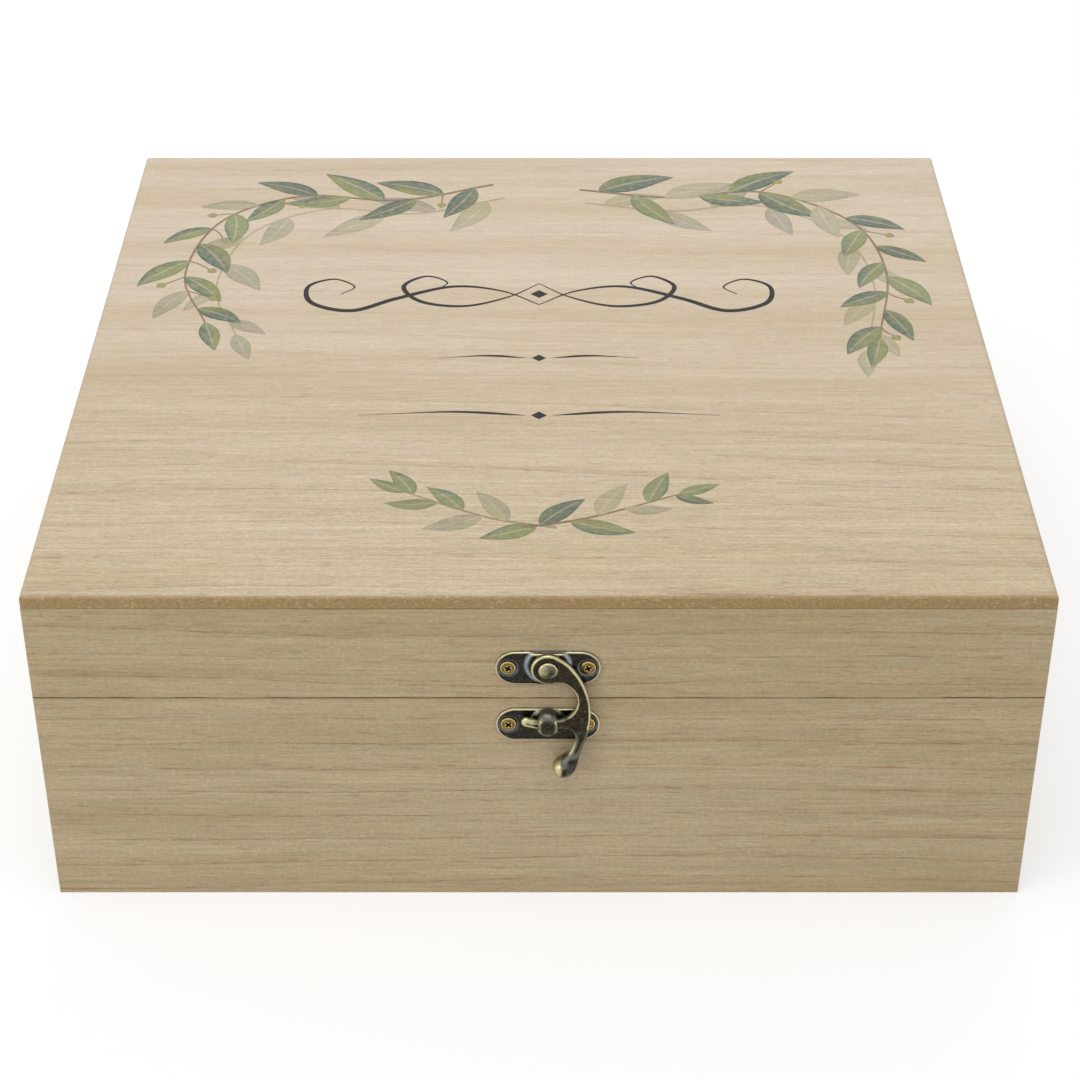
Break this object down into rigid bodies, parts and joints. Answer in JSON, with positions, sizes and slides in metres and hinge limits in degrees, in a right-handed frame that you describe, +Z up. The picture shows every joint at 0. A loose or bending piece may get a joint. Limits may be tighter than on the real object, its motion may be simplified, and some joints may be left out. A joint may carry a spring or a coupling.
{
  "type": "keepsake box",
  "caption": "Wooden keepsake box with a lid hinged at the back, a printed leaf spray on the lid and an antique bronze swing-hook clasp at the front.",
  "frame": {"origin": "middle of the underside, in the plane that the box stands on", "axes": "+Z up, -Y towards the front with the clasp, +X to the right seen from the front"},
  "size_m": [0.28, 0.2765, 0.1068],
  "materials": {
    "board_wood": "bare pale paulownia, sanded, grain along each board",
    "panel_wood": "bare pale paulownia veneer panel, smooth",
    "antique_bronze": "antique bronze plating, dark with brass worn through at the edges",
    "aged_brass": "aged brass",
    "pin_steel": "plain steel wire"
  },
  "bodies": {
    "base": {"base_front": "board_wood", "base_back": "board_wood", "base_left": "board_wood", "base_right": "board_wood", "base_bottom": "panel_wood", "keeper_plate": "antique_bronze", "keeper_post": "antique_bronze", "keeper_screws": "aged_brass", "hinge_left_lower_leaf": "antique_bronze", "hinge_right_lower_leaf": "antique_bronze", "hinge_left_pin": "pin_steel", "hinge_right_pin": "pin_steel", "hinge_left_lower_screws": "aged_brass", "hinge_right_lower_screws": "aged_brass"},
    "lid": {"lid_front_rail": "board_wood", "lid_back_rail": "board_wood", "lid_left_rail": "board_wood", "lid_right_rail": "board_wood", "lid_top_panel": "panel_wood", "hook_plate": "antique_bronze", "hook_rivet": "aged_brass", "hook_plate_screws": "aged_brass", "hinge_left_upper_leaf": "antique_bronze", "hinge_right_upper_leaf": "antique_bronze", "hinge_left_upper_screws": "aged_brass", "hinge_right_upper_screws": "aged_brass"},
    "hook": {"swing_hook": "antique_bronze"}
  },
  "joints": [
    {"name": "lid_hinge", "type": "hinge", "parent": "base", "child": "lid", "pos_m": [0, 0.1319, 0.07185], "axis": [-1, 0, 0], "range_deg": [0, 100]},
    {"name": "hook_swing", "type": "hinge", "parent": "lid", "child": "hook", "pos_m": [0.0025, -0.13632, 0.08415], "axis": [0, -1, 0], "range_deg": [0, 300]}
  ]
}
